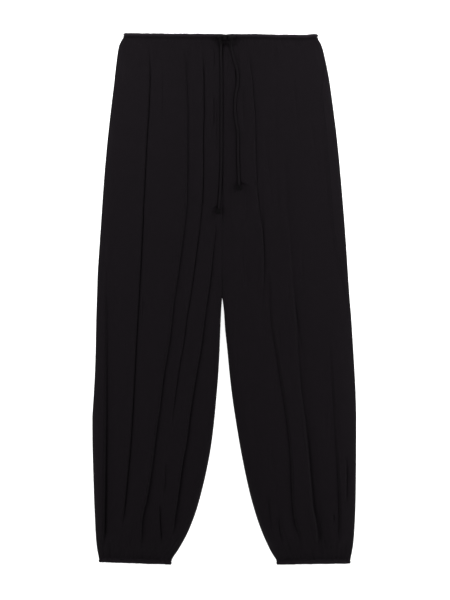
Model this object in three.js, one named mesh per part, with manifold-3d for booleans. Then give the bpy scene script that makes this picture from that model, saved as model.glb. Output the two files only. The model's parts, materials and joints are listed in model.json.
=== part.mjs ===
import * as THREE from "three";
import { mergeVertices } from "three/addons/utils/BufferGeometryUtils.js";
import Module from "manifold-3d";

// Gathered wide-leg pants with a drawstring waist, laid face up on a table, waist towards +Y.
// Four panels make the cloth: a front and a back for each leg. They meet at the centre seams, at the
// outseams and, below the low crotch, at the inseams. A narrow casing with elastic closes the waist and
// each hem, and a thin cord comes out of the waist casing, is knotted there and hangs down in two tails.
// Sizes are in millimetres. X runs from the wearer's right to the wearer's left, and Z is up.

const wasm = await Module();
wasm.setup();

// Driving dimensions
const LENGTH = 1040; // waist edge to hem edge
const CLOTH = 1.5; // wall of a panel, with its give
const SEAM_GAP = 0.3; // between two pieces that are sewn together
const CROTCH = 516; // how far down the centre seams reach
const MERGE = 80; // the centre seam turns into the inseams over this length
const WAIST_CASING = { high: 10, thick: 5.5, from: -197.5, to: 183.5 };
const HEM_CASING = { high: 10, thick: 4.6 };
const CORD = 5; // diameter of the drawstring

const radians = THREE.MathUtils.degToRad;
const { lerp, smoothstep } = THREE.MathUtils;

// Turns rows of numbers into objects with named columns.
const table = (columns, rows) =>
  rows.map((row) => Object.fromEntries(columns.map((name, i) => [name, row[i]])));

// The outline seen from above: how far each edge lies from the middle, at each distance down from the waist.
const OUTLINE = table(
  ["down", "rightSide", "rightInner", "leftInner", "leftSide"],
  [
    [13, -197.6, -4, -4, 183.6],
    [20, -202, -4, -4, 188],
    [30, -206.3, -4, -4, 192],
    [53, -210.2, -4, -4, 197.5],
    [76, -213, -4, -4, 202.4],
    [100, -215.6, -4, -4, 206.6],
    [147, -221.3, -4, -4, 213],
    [194, -226.6, -4, -4, 219],
    [241, -231.3, -4, -4, 224],
    [288, -235.2, -4, -4, 228.3],
    [334, -238.5, -4, -4, 232.2],
    [381, -241.6, -4, -4, 235.9],
    [428, -244.8, -4, -4, 239.2],
    [472, -247.6, -4, -4, 242],
    [CROTCH, -249, -4, -4, 245],
    [545, -250, -5.4, -1.3, 247.4],
    [580, -250.8, -7, 1, 249.8],
    [616, -251.4, -8.2, 4.8, 252],
    [663, -252.9, -10.6, 9.2, 254.8],
    [710, -255.4, -14.4, 14.6, 257],
    [757, -258, -18.8, 21.6, 258],
    [804, -257.6, -24.6, 29.4, 257.8],
    [851, -256.3, -33, 38.4, 257.5],
    [898, -254.8, -44, 48.8, 256.9],
    [930, -253.6, -53, 57.6, 256.2],
    [958, -252.4, -63, 66.6, 255],
    [980, -251.4, -72.6, 75, 253.8],
    [1000, -250, -83.4, 84, 252],
    [1014, -248.4, -92, 91, 250],
    [1022, -247, -97.6, 95.8, 248.6],
    [1029.6, -245.6, -102, 101, 247],
  ],
);

// How far down the top of the waist casing lies along X. It has a small bump at the wearer's left end.
const WAIST_EDGE = table(
  ["down", "below"],
  [
    [-198, 0],
    [-150, 0.8],
    [-60, 1.6],
    [-8, 2],
    [4, 3.2],
    [16, 2],
    [70, 2.2],
    [105, 3.4],
    [160, 3.6],
    [176, 2],
    [184, 3.2],
  ],
);

// Heights of the laid cloth: the top of the ridges, the outseam, and how wide the rounded side is.
const HEIGHTS = table(
  ["down", "crown", "seam", "roll"],
  [
    [13, 9.2, 5.6, 7],
    [40, 10.4, 5.6, 12],
    [100, 11.6, 5.7, 17],
    [300, 12.6, 6, 21],
    [516, 13.6, 6.4, 23],
    [760, 17, 7.4, 26],
    [930, 21, 8.6, 28],
    [985, 19.8, 8, 25],
    [1014, 13, 6.2, 17],
    [1029.6, 7.4, 4.6, 8],
  ],
);

// The long folds of a front. Each is a trough that starts and ends at a distance down from the waist, crosses
// the panel at four evenly spaced shares of its width (0 at the inner edge, 1 at the side), takes a share of
// the cloth's height, and is so many millimetres wide towards the inner edge and towards the side.
const FOLD_COLUMNS = ["from", "to", "a", "b", "c", "d", "depth", "inward", "outward"];
const RIGHT_FOLDS = table(FOLD_COLUMNS, [
  [16, 940, 0.71, 0.65, 0.672, 0.69, 0.72, 14, 6],
  [16, 1016, 0.34, 0.292, 0.437, 0.49, 0.92, 10, 20],
  [24, 830, 0.19, 0.155, 0.285, 0.345, 0.55, 9, 5],
  [360, 1000, 0.05, 0.148, 0.212, 0.15, 0.85, 12, 7],
  [450, 1018, 0.91, 0.885, 0.88, 0.9, 0.7, 15, 8],
  [880, 1022, 0.345, 0.35, 0.36, 0.37, 0.45, 7, 9],
  [30, 330, 0.49, 0.47, 0.46, 0.45, 0.2, 12, 16],
]);
const LEFT_FOLDS = table(FOLD_COLUMNS, [
  [16, 985, 0.25, 0.318, 0.38, 0.375, 0.78, 16, 12],
  [170, 1018, 0.525, 0.545, 0.577, 0.602, 0.85, 12, 17],
  [560, 1012, 0.82, 0.8, 0.797, 0.812, 0.66, 14, 9],
  [370, 620, 0.18, 0.2, 0.205, 0.2, 0.35, 7, 5],
  [880, 1020, 0.13, 0.16, 0.19, 0.22, 0.45, 9, 7],
  [30, 420, 0.6, 0.62, 0.64, 0.66, 0.18, 18, 14],
  [760, 1018, 0.93, 0.92, 0.915, 0.92, 0.4, 7, 6],
]);

// Short gathers that the elastic makes, fading away from the waist and from the hem.
const WAIST_GATHERS = { count: 7, deep: 2.2, wide: 7, reach: 75 };
const HEM_GATHERS = { count: 7, deep: 3.6, wide: 5, reach: 60 };
const UNEVEN = 0.022; // how far a gather strays, as a share of the panel

// The outseam of the left leg rolls onto the front between these places; the right one stays at the side.
const SEAM_ROLL = { from: 30, full: 120, keeps: 360, to: 640, degrees: 72 };

const LEGS = {
  right: { towards: -1, inner: "rightInner", side: "rightSide", folds: RIGHT_FOLDS, phase: 0.7, hemRise: 5, rounder: 1 },
  left: { towards: 1, inner: "leftInner", side: "leftSide", folds: LEFT_FOLDS, phase: 2.1, hemRise: 2, rounder: 1.3 },
};

// A smooth curve through one column of a table, with no overshoot.
function at(rows, column, down) {
  const last = rows.length - 1;
  const i = Math.min(Math.max(rows.findIndex((row) => row.down > down) - 1, 0), last - 1);
  const k = down >= rows[last].down ? last - 1 : i;
  const step = (j) => (rows[j + 1][column] - rows[j][column]) / (rows[j + 1].down - rows[j].down);
  const slope = (j) => {
    if (j === 0) return step(0);
    if (j === last) return step(last - 1);
    return step(j - 1) * step(j) <= 0 ? 0 : (2 * step(j - 1) * step(j)) / (step(j - 1) + step(j));
  };
  const span = rows[k + 1].down - rows[k].down;
  const t = THREE.MathUtils.clamp((down - rows[k].down) / span, 0, 1);
  const [p, q] = [rows[k][column], rows[k + 1][column]];
  const [m, n] = [slope(k) * span, slope(k + 1) * span];
  return p + m * t + (3 * (q - p) - 2 * m - n) * t * t + (2 * (p - q) + m + n) * t * t * t;
}

// The cubic through four evenly spaced values.
function through({ a, b, c, d }, t) {
  const s = 3 * t;
  return (
    (-a * (s - 1) * (s - 2) * (s - 3)) / 6 +
    (b * s * (s - 2) * (s - 3)) / 2 -
    (c * s * (s - 1) * (s - 3)) / 2 +
    (d * s * (s - 1) * (s - 2)) / 6
  );
}

// The top of the waist casing, as a distance down from the highest place.
const waistEdge = (x) => at(WAIST_EDGE, "below", x);

// How much of the cloth's height the long folds take away at a place on a front.
function foldDepth(leg, across, down, width) {
  const FADE = 90;
  return leg.folds.reduce((deepest, fold) => {
    if (down <= fold.from || down >= fold.to) return deepest;
    const fade = smoothstep(down, fold.from, fold.from + FADE) * (1 - smoothstep(down, fold.to - FADE, fold.to));
    const off = (across - through(fold, (down - fold.from) / (fold.to - fold.from))) * width;
    const reach = off < 0 ? fold.inward : fold.outward;
    return Math.max(deepest, fold.depth * fade * Math.exp(-Math.pow(Math.abs(off / reach), 1.4)));
  }, 0);
}

// Millimetres that the short gathers of one elastic take away.
function gatherDepth(gathers, leg, across, away, width) {
  let depth = 0;
  for (let i = 0; i < gathers.count; i++) {
    const centre = (i + 0.5) / gathers.count + UNEVEN * Math.sin(2.4 * i + leg.phase);
    const strength = 0.7 + 0.3 * Math.sin(1.7 * i + 3 * leg.phase);
    const off = ((across - centre) * width) / gathers.wide;
    depth += gathers.deep * strength * Math.exp(-off * off) * Math.exp(-away / gathers.reach);
  }
  return depth;
}

// How far the outseam has rolled round the side, as a share of the quarter turn from the side to the top.
function seamRoll(leg, down) {
  if (leg !== LEGS.left) return 0;
  const rise = smoothstep(down, SEAM_ROLL.from, SEAM_ROLL.full) * (1 - smoothstep(down, SEAM_ROLL.keeps, SEAM_ROLL.to));
  return (rise * SEAM_ROLL.degrees) / 90;
}

// The middle of the cloth's wall at one place on a leg. `round` runs along the cross-section: 0 to 1 is the
// rounded inner edge of the front, to 2 the front, to 3 its rounded side, to 4 the rounded side of the back,
// to 5 the flat back, and to 6 the back's rounded inner edge.
function clothPoint(leg, round, down) {
  const zone = Math.min(Math.floor(round), 5);
  const share = round - zone;
  const inset = CLOTH / 2;
  const apart = smoothstep(down, CROTCH - MERGE, CROTCH); // 0 where the legs are one, 1 where they are apart
  const inner = at(OUTLINE, leg.inner, down) + leg.towards * (SEAM_GAP / 2 + inset * apart);
  const side = at(OUTLINE, leg.side, down) - leg.towards * inset;
  const width = Math.abs(side - inner);
  const roll = at(HEIGHTS, "roll", down) * (zone === 2 || zone === 3 ? leg.rounder : 1);
  const crown = at(HEIGHTS, "crown", down);
  const seam = at(HEIGHTS, "seam", down);
  const flat = lerp(WAIST_CASING.thick / 2, inset, smoothstep(down, 10, 60));
  const hem = smoothstep(down, 985, 1029.6);
  const floor = lerp(flat, HEM_CASING.thick / 2, hem);
  const quarter = Math.PI / 2;

  let off, rise, edge, top;
  if (zone === 0 || zone === 5) {
    const turn = zone === 0 ? quarter * share : quarter * (1 - share);
    off = roll * (1 - Math.cos(turn));
    rise = lerp(1 - Math.cos(turn), Math.sin(turn), apart);
  } else if (zone === 1 || zone === 4) {
    off = roll + (width - roll * (1 + leg.rounder)) * (zone === 1 ? share : 1 - share);
    rise = 1;
  } else {
    const turn = zone === 2 ? quarter * (1 - share) : quarter * share;
    off = width - roll * (1 - Math.cos(turn));
    rise = Math.sin(turn);
  }
  const across = off / width;
  const front = zone < 3;
  if (front) {
    edge = zone === 0 ? lerp(crown - 1.6, seam, apart) : seam;
    const room = crown - (floor + CLOTH + SEAM_GAP);
    const dip = room * foldDepth(leg, across, down, width);
    const gathers =
      gatherDepth(WAIST_GATHERS, leg, across, down - 13, width) +
      gatherDepth(HEM_GATHERS, leg, across, 1029.6 - down, width);
    const settle = Math.min(smoothstep(down, 13, 40), 1 - smoothstep(down, 1016, 1029.6));
    top = Math.max(crown - dip - gathers * settle, floor + CLOTH + SEAM_GAP);
  } else {
    edge = zone === 5 ? lerp(floor, seam, apart) : seam;
    top = floor;
  }
  const rest = zone === 0 ? rise : zone === 2 ? rise : 1;
  const z = front ? lerp(edge, top, rest) : lerp(edge, top, rise);
  const x = inner + leg.towards * off;
  const start = waistEdge(x) + WAIST_CASING.high + 2 * SEAM_GAP - OUTLINE[0].down;
  const lift = leg.hemRise * across * smoothstep(down, 900, 1029.6) - start * (1 - smoothstep(down, 13, 76));
  return new THREE.Vector3(x, LENGTH / 2 - down + lift, z);
}

// The wall's two faces at a place, half a cloth to each side of its middle.
function clothFaces(leg, round, down) {
  const [STEP_ROUND, STEP_DOWN] = [0.02, 1];
  const low = Math.max(round - STEP_ROUND, 0);
  const high = Math.min(round + STEP_ROUND, 6);
  const along = clothPoint(leg, high, down).sub(clothPoint(leg, low, down));
  const upper = Math.max(down - STEP_DOWN, OUTLINE[0].down);
  const lower = Math.min(down + STEP_DOWN, OUTLINE[OUTLINE.length - 1].down);
  const length = clothPoint(leg, round, lower).sub(clothPoint(leg, round, upper));
  const normal = along.cross(length).multiplyScalar(-leg.towards);
  normal.y = 0;
  normal.normalize();
  const middle = clothPoint(leg, round, down);
  const limit = at(OUTLINE, leg.inner, down) + (leg.towards * SEAM_GAP) / 2;
  const keep = (point) => {
    if ((point.x - limit) * leg.towards < 0) point.x = limit;
    return point;
  };
  return [
    keep(middle.clone().addScaledVector(normal, CLOTH / 2)),
    keep(middle.clone().addScaledVector(normal, -CLOTH / 2)),
  ];
}

// A closed body from a list of triangles of points, turned so that its faces point out.
function bodyOf(triangles) {
  const volume = triangles.reduce((sum, [a, b, c]) => sum + a.dot(b.clone().cross(c)), 0);
  const flat = triangles.flatMap(([a, b, c]) => (volume < 0 ? [a, c, b] : [a, b, c]));
  return new THREE.BufferGeometry().setFromPoints(flat);
}

const quad = (a, b, c, d) => [[a, b, c], [a, c, d]];

// A wall from two grids of points, one for each face, closed at its four borders.
function wall(outer, inner) {
  const [rows, columns] = [outer.length - 1, outer[0].length - 1];
  const faces = [];
  for (let i = 0; i < rows; i++)
    for (let j = 0; j < columns; j++) {
      faces.push(...quad(outer[i][j], outer[i][j + 1], outer[i + 1][j + 1], outer[i + 1][j]));
      faces.push(...quad(inner[i][j], inner[i + 1][j], inner[i + 1][j + 1], inner[i][j + 1]));
    }
  for (let i = 0; i < rows; i++) {
    faces.push(...quad(outer[i][0], outer[i + 1][0], inner[i + 1][0], inner[i][0]));
    faces.push(...quad(outer[i][columns], inner[i][columns], inner[i + 1][columns], outer[i + 1][columns]));
  }
  for (let j = 0; j < columns; j++) {
    faces.push(...quad(outer[0][j], inner[0][j], inner[0][j + 1], outer[0][j + 1]));
    faces.push(...quad(outer[rows][j], outer[rows][j + 1], inner[rows][j + 1], inner[rows][j]));
  }
  return bodyOf(faces);
}

// Evenly spaced values from one number to another, without the last.
const spaced = (from, to, count) => Array.from({ length: count }, (_, i) => lerp(from, to, i / count));

// Where the columns of a panel lie round the cross-section, from the inner edge to the outseam or back again.
function frontColumns(leg, down) {
  return [...spaced(0, 1, 4), ...spaced(1, 2, 28), ...spaced(2, 3 - seamRoll(leg, down), 4), 3 - seamRoll(leg, down)];
}
function backColumns(leg, down) {
  return [...spaced(3 - seamRoll(leg, down), 4, 6), ...spaced(4, 5, 7), ...spaced(5, 6, 3), 6];
}

// A front or a back panel. At the outseam each stops half a seam gap short of the other.
function panel(leg, columnsAt, seamColumn) {
  const grids = OUTLINE.map(({ down }) => {
    const columns = columnsAt(leg, down);
    return columns.map((round, j) => {
      const faces = clothFaces(leg, round, down);
      const crosses = j === (seamColumn < 0 ? columns.length - 1 : seamColumn);
      const inseam = down >= CROTCH - MERGE && j === (seamColumn < 0 ? 0 : columns.length - 1);
      if (!crosses && !inseam) return faces;
      const before = clothPoint(leg, Math.max(round - 0.01, 0), down);
      const after = clothPoint(leg, Math.min(round + 0.01, 6), down);
      const away = after.sub(before).setY(0).normalize();
      const inwards = j === 0 ? 1 : -1;
      return faces.map((point) => point.addScaledVector(away, (inwards * SEAM_GAP) / 2));
    });
  });
  return wall(
    grids.map((row) => row.map(([outer]) => outer)),
    grids.map((row) => row.map(([, inner]) => inner)),
  );
}

// A flattened ring of casing: it runs along the front, turns at the side and comes back under itself.
function casing({ high, thick }, from, to, middle, run) {
  const radius = (thick + SEAM_GAP) / 2;
  const centre = thick + SEAM_GAP / 2;
  const [left, right] = [from + radius + thick / 2, to - radius - thick / 2];
  const TURN = 5;
  const path = [
    ...spaced(left, right, run).map((x) => [x, 90]),
    ...spaced(90, -90, TURN).map((angle) => [right, angle]),
    ...spaced(right, left, run).map((x) => [x, -90]),
    ...spaced(270, 90, TURN).map((angle) => [left, angle]),
  ];
  const SIDES = 8;
  const rings = path.map(([x, angle]) => {
    const out = new THREE.Vector3(Math.cos(radians(angle)), 0, Math.sin(radians(angle)));
    const origin = new THREE.Vector3(x, middle(x), centre).addScaledVector(out, radius);
    return spaced(0, 360, SIDES).map((side) => {
      const [c, s] = [Math.cos(radians(side)), Math.sin(radians(side))];
      const squarer = (value) => Math.sign(value) * Math.pow(Math.abs(value), 0.75);
      const point = origin.clone().addScaledVector(out, (squarer(c) * thick) / 2);
      point.y += (squarer(s) * high) / 2;
      return point;
    });
  });
  const faces = rings.flatMap((ring, i) => {
    const next = rings[(i + 1) % rings.length];
    return ring.flatMap((_, j) => {
      const k = (j + 1) % SIDES;
      return quad(ring[j], next[j], next[k], ring[k]);
    });
  });
  return bodyOf(faces);
}

const waistMiddle = (x) => LENGTH / 2 - waistEdge(x) - WAIST_CASING.high / 2;

// A hem casing sits under its leg, tilted with the leg's lower edge.
function hemCasing(leg) {
  const last = OUTLINE[OUTLINE.length - 1];
  const [inner, side] = [last[leg.inner], last[leg.side]];
  const middle = (x) => {
    const across = (x - inner) / (side - inner);
    return -LENGTH / 2 + HEM_CASING.high / 2 + leg.hemRise * across;
  };
  return casing(HEM_CASING, Math.min(inner, side), Math.max(inner, side), middle, 8);
}

// Manifold solids, for the knots alone.
function solidOf(geometry) {
  const bare = geometry.index ? geometry.toNonIndexed() : geometry;
  const points = new THREE.BufferGeometry().setAttribute("position", bare.getAttribute("position"));
  const merged = mergeVertices(points, 1e-4);
  return new wasm.Manifold(
    new wasm.Mesh({
      numProp: 3,
      vertProperties: merged.attributes.position.array,
      triVerts: new Uint32Array(merged.index.array),
    }),
  );
}
function geometryOf(solid) {
  const { numProp, numVert, vertProperties, triVerts } = solid.getMesh();
  const points = new Float32Array(numVert * 3);
  for (let i = 0; i < numVert; i++) points.set(vertProperties.subarray(i * numProp, i * numProp + 3), i * 3);
  return new THREE.BufferGeometry()
    .setAttribute("position", new THREE.BufferAttribute(points, 3))
    .setIndex(new THREE.BufferAttribute(triVerts, 1));
}
const union = (geometries) => geometryOf(geometries.map(solidOf).reduce((whole, next) => whole.add(next)));

// A tube of cord along a curve through some points.
function cordAlong(points, steps, sides, diameter = CORD) {
  const curve = new THREE.CatmullRomCurve3(points.map((p) => new THREE.Vector3(...p)));
  const circle = new THREE.Shape(
    spaced(0, 2 * Math.PI, sides).map((a) => new THREE.Vector2(Math.cos(a), Math.sin(a)).multiplyScalar(diameter / 2)),
  );
  return new THREE.ExtrudeGeometry(circle, { steps, bevelEnabled: false, extrudePath: curve });
}

// One turn of cord, as a ring that is stretched and turned.
function turnOfCord(radius, [wide, high], [tiltX, tiltY, tiltZ], [x, y, z]) {
  const ring = new THREE.TorusGeometry(radius, CORD / 2, 6, 12);
  ring.scale(wide, high, 1);
  ring.rotateX(radians(tiltX));
  ring.rotateY(radians(tiltY));
  ring.rotateZ(radians(tiltZ));
  return ring.translate(x, y, z);
}

// The routes of the drawstring's two tails over the fronts, from the waist knot to the knots in their ends.
const RIGHT_TAIL = [
  [-6.6, 500.6, 14],
  [-6.4, 488, 12.9],
  [-6.2, 470, 13.2],
  [-5.8, 450, 13.6],
  [-5.6, 428, 13.9],
  [-5.4, 405, 14.1],
  [-5.4, 380, 14.2],
  [-5.5, 352, 14.3],
  [-5.6, 324, 14.4],
  [-5.6, 296, 14.5],
  [-5.9, 268, 14.7],
  [-6.6, 240, 14.9],
  [-7.8, 214, 15.2],
  [-9.4, 192, 15.6],
  [-10.3, 174.2, 16.6],
];
const LEFT_TAIL = [
  [12, 500.6, 15],
  [13.5, 488, 13.9],
  [16.5, 477, 14.2],
  [19, 466, 14.5],
  [23, 453, 14.8],
  [26, 440, 15.1],
  [26.6, 428, 15.3],
  [26, 416, 15.4],
  [23.5, 404, 15.5],
  [21.5, 390, 15.6],
  [20.8, 376, 15.7],
  [21, 362, 15.7],
  [22.8, 346, 15.8],
  [25.4, 332, 15.9],
  [26.6, 318, 15.9],
  [26.8, 296, 16],
  [26.9, 272, 16.1],
  [27.8, 246, 16.3],
  [28.9, 220.4, 17.2],
];

// The waist knot: a loop to each side and a turn round their middle, resting on the casing.
const waistKnot = () =>
  union([
    turnOfCord(4, [1.2, 1], [0, 14, 12], [-2.2, 508.6, 15.4]),
    turnOfCord(4, [1.2, 0.95], [0, -14, -14], [10.8, 508.4, 15.4]),
    turnOfCord(3.6, [1, 1.05], [0, 76, 8], [4.4, 508.2, 17]),
  ]);

// A knot in the end of a tail: one turn lying round the cord, one across it, and the short end below.
function endKnot([x, y, z], turn) {
  return union([
    turnOfCord(2.7, [1, 1.1], [72, 0, turn], [x, y + 2.2, z]),
    turnOfCord(2.7, [1, 1.25], [18, 20, turn], [x, y - 0.6, z]),
    cordAlong([[x, y - 1, z], [x + 0.08 * turn, y - 5, z - 0.3], [x + 0.16 * turn, y - 11, z - 0.8]], 3, 8, 4.4),
  ]);
}

const black = { color: 0x1c1a1d, metalness: 0 };
const crepe = new THREE.MeshStandardMaterial({ ...black, roughness: 0.85 });
const rib = new THREE.MeshStandardMaterial({ ...black, roughness: 0.8 });
const cordCloth = new THREE.MeshStandardMaterial({ ...black, roughness: 0.7 });

const pants = new THREE.Group();
function add(name, geometry, material) {
  const mesh = new THREE.Mesh(geometry, material);
  mesh.name = name;
  pants.add(mesh);
}

for (const [name, leg] of Object.entries(LEGS)) {
  add(`front_${name}`, panel(leg, frontColumns, -1), crepe);
  add(`back_${name}`, panel(leg, backColumns, 0), crepe);
  add(`hem_casing_${name}`, hemCasing(leg), rib);
}
add("waist_casing", casing(WAIST_CASING, WAIST_CASING.from, WAIST_CASING.to, waistMiddle, 20), rib);
add("drawstring_knot", waistKnot(), cordCloth);
add("drawstring_tail_right", cordAlong(RIGHT_TAIL, 30, 8), cordCloth);
add("drawstring_tail_left", cordAlong(LEFT_TAIL, 30, 8), cordCloth);
add("end_knot_right", endKnot([-10.9, 167.8, 18.2], -20), cordCloth);
add("end_knot_left", endKnot([29.2, 214.2, 18.8], 8), cordCloth);

export default pants;
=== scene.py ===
# %% [markdown]
# # Wide-leg pants, laid flat
#
# This lesson dresses a plain solid model of a pair of pants in real-looking cloth. The pants lie face up on
# a pale table, waist at the top. They are black crepe, gathered into a narrow elastic casing at the waist
# and at each hem, with a thin cord that is knotted at the waist and hangs down in two tails.
#
# The solid model is already in the scene and stays the frame of everything: nothing here moves or resizes it.
# Each panel's solid is replaced by a thin shell with the same outline and long folds, and each solid of a
# casing or a cord by a finer piece of the same form.

import json
import math

import bpy
import numpy as np
from mathutils import Vector
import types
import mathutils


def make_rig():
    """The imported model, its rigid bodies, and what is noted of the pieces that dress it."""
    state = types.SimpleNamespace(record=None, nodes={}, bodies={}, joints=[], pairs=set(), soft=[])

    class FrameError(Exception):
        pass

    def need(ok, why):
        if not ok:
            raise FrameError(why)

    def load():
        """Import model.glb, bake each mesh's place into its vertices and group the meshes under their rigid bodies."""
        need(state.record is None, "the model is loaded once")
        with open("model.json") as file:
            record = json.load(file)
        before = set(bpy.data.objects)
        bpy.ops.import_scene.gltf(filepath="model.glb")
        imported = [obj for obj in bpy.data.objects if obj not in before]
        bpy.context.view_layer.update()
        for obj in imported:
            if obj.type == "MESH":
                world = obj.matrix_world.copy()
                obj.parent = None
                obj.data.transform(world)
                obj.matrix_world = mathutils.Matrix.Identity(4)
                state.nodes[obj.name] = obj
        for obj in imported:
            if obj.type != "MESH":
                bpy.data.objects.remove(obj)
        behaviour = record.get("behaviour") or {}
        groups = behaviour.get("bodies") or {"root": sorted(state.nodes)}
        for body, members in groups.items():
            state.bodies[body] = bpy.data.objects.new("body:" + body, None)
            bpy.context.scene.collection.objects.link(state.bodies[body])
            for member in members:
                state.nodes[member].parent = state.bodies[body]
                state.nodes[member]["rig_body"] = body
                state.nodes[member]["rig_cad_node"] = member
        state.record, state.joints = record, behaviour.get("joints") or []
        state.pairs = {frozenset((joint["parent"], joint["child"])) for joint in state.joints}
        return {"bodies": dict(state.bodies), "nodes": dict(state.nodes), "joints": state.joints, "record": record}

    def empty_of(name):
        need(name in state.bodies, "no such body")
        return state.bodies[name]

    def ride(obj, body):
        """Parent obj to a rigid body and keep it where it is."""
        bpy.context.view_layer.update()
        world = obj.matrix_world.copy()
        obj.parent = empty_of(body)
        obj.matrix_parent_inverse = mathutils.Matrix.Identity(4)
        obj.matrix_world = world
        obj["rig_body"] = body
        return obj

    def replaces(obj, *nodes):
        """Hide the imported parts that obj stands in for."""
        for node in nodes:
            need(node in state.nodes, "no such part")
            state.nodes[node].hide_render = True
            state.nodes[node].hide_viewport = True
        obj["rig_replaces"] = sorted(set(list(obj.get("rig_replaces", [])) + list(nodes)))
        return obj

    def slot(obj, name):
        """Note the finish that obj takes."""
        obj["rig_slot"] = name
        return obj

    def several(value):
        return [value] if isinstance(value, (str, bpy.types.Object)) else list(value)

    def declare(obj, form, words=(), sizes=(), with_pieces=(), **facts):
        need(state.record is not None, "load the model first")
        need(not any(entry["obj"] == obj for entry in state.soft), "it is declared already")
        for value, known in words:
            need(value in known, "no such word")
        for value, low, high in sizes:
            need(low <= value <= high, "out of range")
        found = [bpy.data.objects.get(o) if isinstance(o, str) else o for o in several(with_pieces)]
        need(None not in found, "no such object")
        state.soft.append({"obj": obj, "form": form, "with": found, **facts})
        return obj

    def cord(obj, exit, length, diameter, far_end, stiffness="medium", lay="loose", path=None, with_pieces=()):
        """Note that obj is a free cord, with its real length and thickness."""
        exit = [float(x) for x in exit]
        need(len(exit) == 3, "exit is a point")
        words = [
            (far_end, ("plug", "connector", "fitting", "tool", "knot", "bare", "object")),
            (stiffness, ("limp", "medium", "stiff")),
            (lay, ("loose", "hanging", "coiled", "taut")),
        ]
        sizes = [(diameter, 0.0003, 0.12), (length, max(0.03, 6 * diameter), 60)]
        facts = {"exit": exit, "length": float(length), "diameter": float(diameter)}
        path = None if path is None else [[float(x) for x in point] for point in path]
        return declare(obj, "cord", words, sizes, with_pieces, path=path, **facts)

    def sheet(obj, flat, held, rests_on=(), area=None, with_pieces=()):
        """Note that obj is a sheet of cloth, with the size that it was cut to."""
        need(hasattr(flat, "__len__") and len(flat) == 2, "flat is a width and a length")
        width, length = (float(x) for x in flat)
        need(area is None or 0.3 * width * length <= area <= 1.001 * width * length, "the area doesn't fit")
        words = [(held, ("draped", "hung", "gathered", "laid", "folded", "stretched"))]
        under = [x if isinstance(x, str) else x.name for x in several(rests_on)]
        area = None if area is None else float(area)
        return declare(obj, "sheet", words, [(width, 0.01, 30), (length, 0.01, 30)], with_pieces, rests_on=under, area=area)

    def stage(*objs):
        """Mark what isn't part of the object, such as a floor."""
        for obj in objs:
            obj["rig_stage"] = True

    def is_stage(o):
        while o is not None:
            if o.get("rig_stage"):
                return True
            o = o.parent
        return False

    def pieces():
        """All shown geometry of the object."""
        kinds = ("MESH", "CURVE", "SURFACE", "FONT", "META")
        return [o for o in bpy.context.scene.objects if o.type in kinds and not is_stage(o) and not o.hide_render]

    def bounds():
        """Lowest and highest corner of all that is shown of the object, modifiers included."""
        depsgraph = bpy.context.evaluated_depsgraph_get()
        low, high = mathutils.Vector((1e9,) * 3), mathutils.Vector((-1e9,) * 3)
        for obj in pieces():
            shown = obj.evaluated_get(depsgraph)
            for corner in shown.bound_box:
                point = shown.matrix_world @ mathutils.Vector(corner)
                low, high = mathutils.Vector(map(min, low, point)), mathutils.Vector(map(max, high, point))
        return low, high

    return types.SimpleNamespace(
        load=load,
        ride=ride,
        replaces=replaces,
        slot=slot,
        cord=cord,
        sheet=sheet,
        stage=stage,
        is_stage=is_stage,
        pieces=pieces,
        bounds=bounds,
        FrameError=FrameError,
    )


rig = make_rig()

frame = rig.load()
solid_box = [list(corner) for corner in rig.bounds()]
print("solid box in metres:", [[round(value, 4) for value in corner] for corner in solid_box])

MM = 0.001  # the tables below are in millimetres, and Blender works in metres

# %% [markdown]
# ## The camera
#
# The garment is seen from straight above, so the camera looks down at the table with the waist towards the
# top of the picture. A long lens from far away keeps the outline nearly free of perspective. The picture is
# taller than it is wide, so with the sensor's fit left on automatic its 36 mm lie along the picture's
# height, which takes in 1.173 m of the table.

# %% Camera
PICTURE_HIGH = 600 * 1.955 * MM  # 600 pixels of 1.955 mm
PICTURE_MIDDLE = (1.4 * MM, -2.4 * MM)
CAMERA_HEIGHT = 3.2

camera_data = bpy.data.cameras.new("camera")
camera_data.sensor_fit = "AUTO"
camera_data.sensor_width = 36
camera_data.lens = camera_data.sensor_width * CAMERA_HEIGHT / PICTURE_HIGH
camera = bpy.data.objects.new("camera", camera_data)
camera.location = (*PICTURE_MIDDLE, CAMERA_HEIGHT)
bpy.context.scene.collection.objects.link(camera)
bpy.context.scene.camera = camera
print("lens:", round(camera_data.lens, 1), "mm")

# %% [markdown]
# ## Numbers that change along a line
#
# Most shapes below come from short tables: a width or a height at some distances down from the waist. A
# smooth curve joins the rows of a table. A plain spline would swing past its points, so the slope at each
# row is the harmonic mean of the slopes on its two sides, which never overshoots.

# %% Tables and curves
def table(columns, rows):
    """Columns of numbers by name."""
    return dict(zip(columns, np.array(rows, dtype=float).T))


def smooth(x, xs, ys):
    """A smooth curve through the points (xs, ys), with no overshoot, at each x."""
    step = np.diff(ys) / np.diff(xs)
    slope = np.concatenate([step[:1], np.zeros(len(xs) - 2), step[-1:]])
    before, after = step[:-1], step[1:]
    same_way = before * after > 0
    slope[1:-1][same_way] = 2 * (before * after)[same_way] / (before + after)[same_way]
    x = np.clip(x, xs[0], xs[-1])
    i = np.clip(np.searchsorted(xs, x, side="right") - 1, 0, len(xs) - 2)
    span = xs[i + 1] - xs[i]
    t = (x - xs[i]) / span
    p, q, m, n = ys[i], ys[i + 1], slope[i] * span, slope[i + 1] * span
    return p + m * t + (3 * (q - p) - 2 * m - n) * t**2 + (2 * (p - q) + m + n) * t**3


def ease(x, low, high):
    """0 up to low, 1 from high on, and a soft rise between them."""
    t = np.clip((x - low) / (high - low), 0, 1)
    return t * t * (3 - 2 * t)


def blend(a, b, share):
    return a + (b - a) * share


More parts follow.
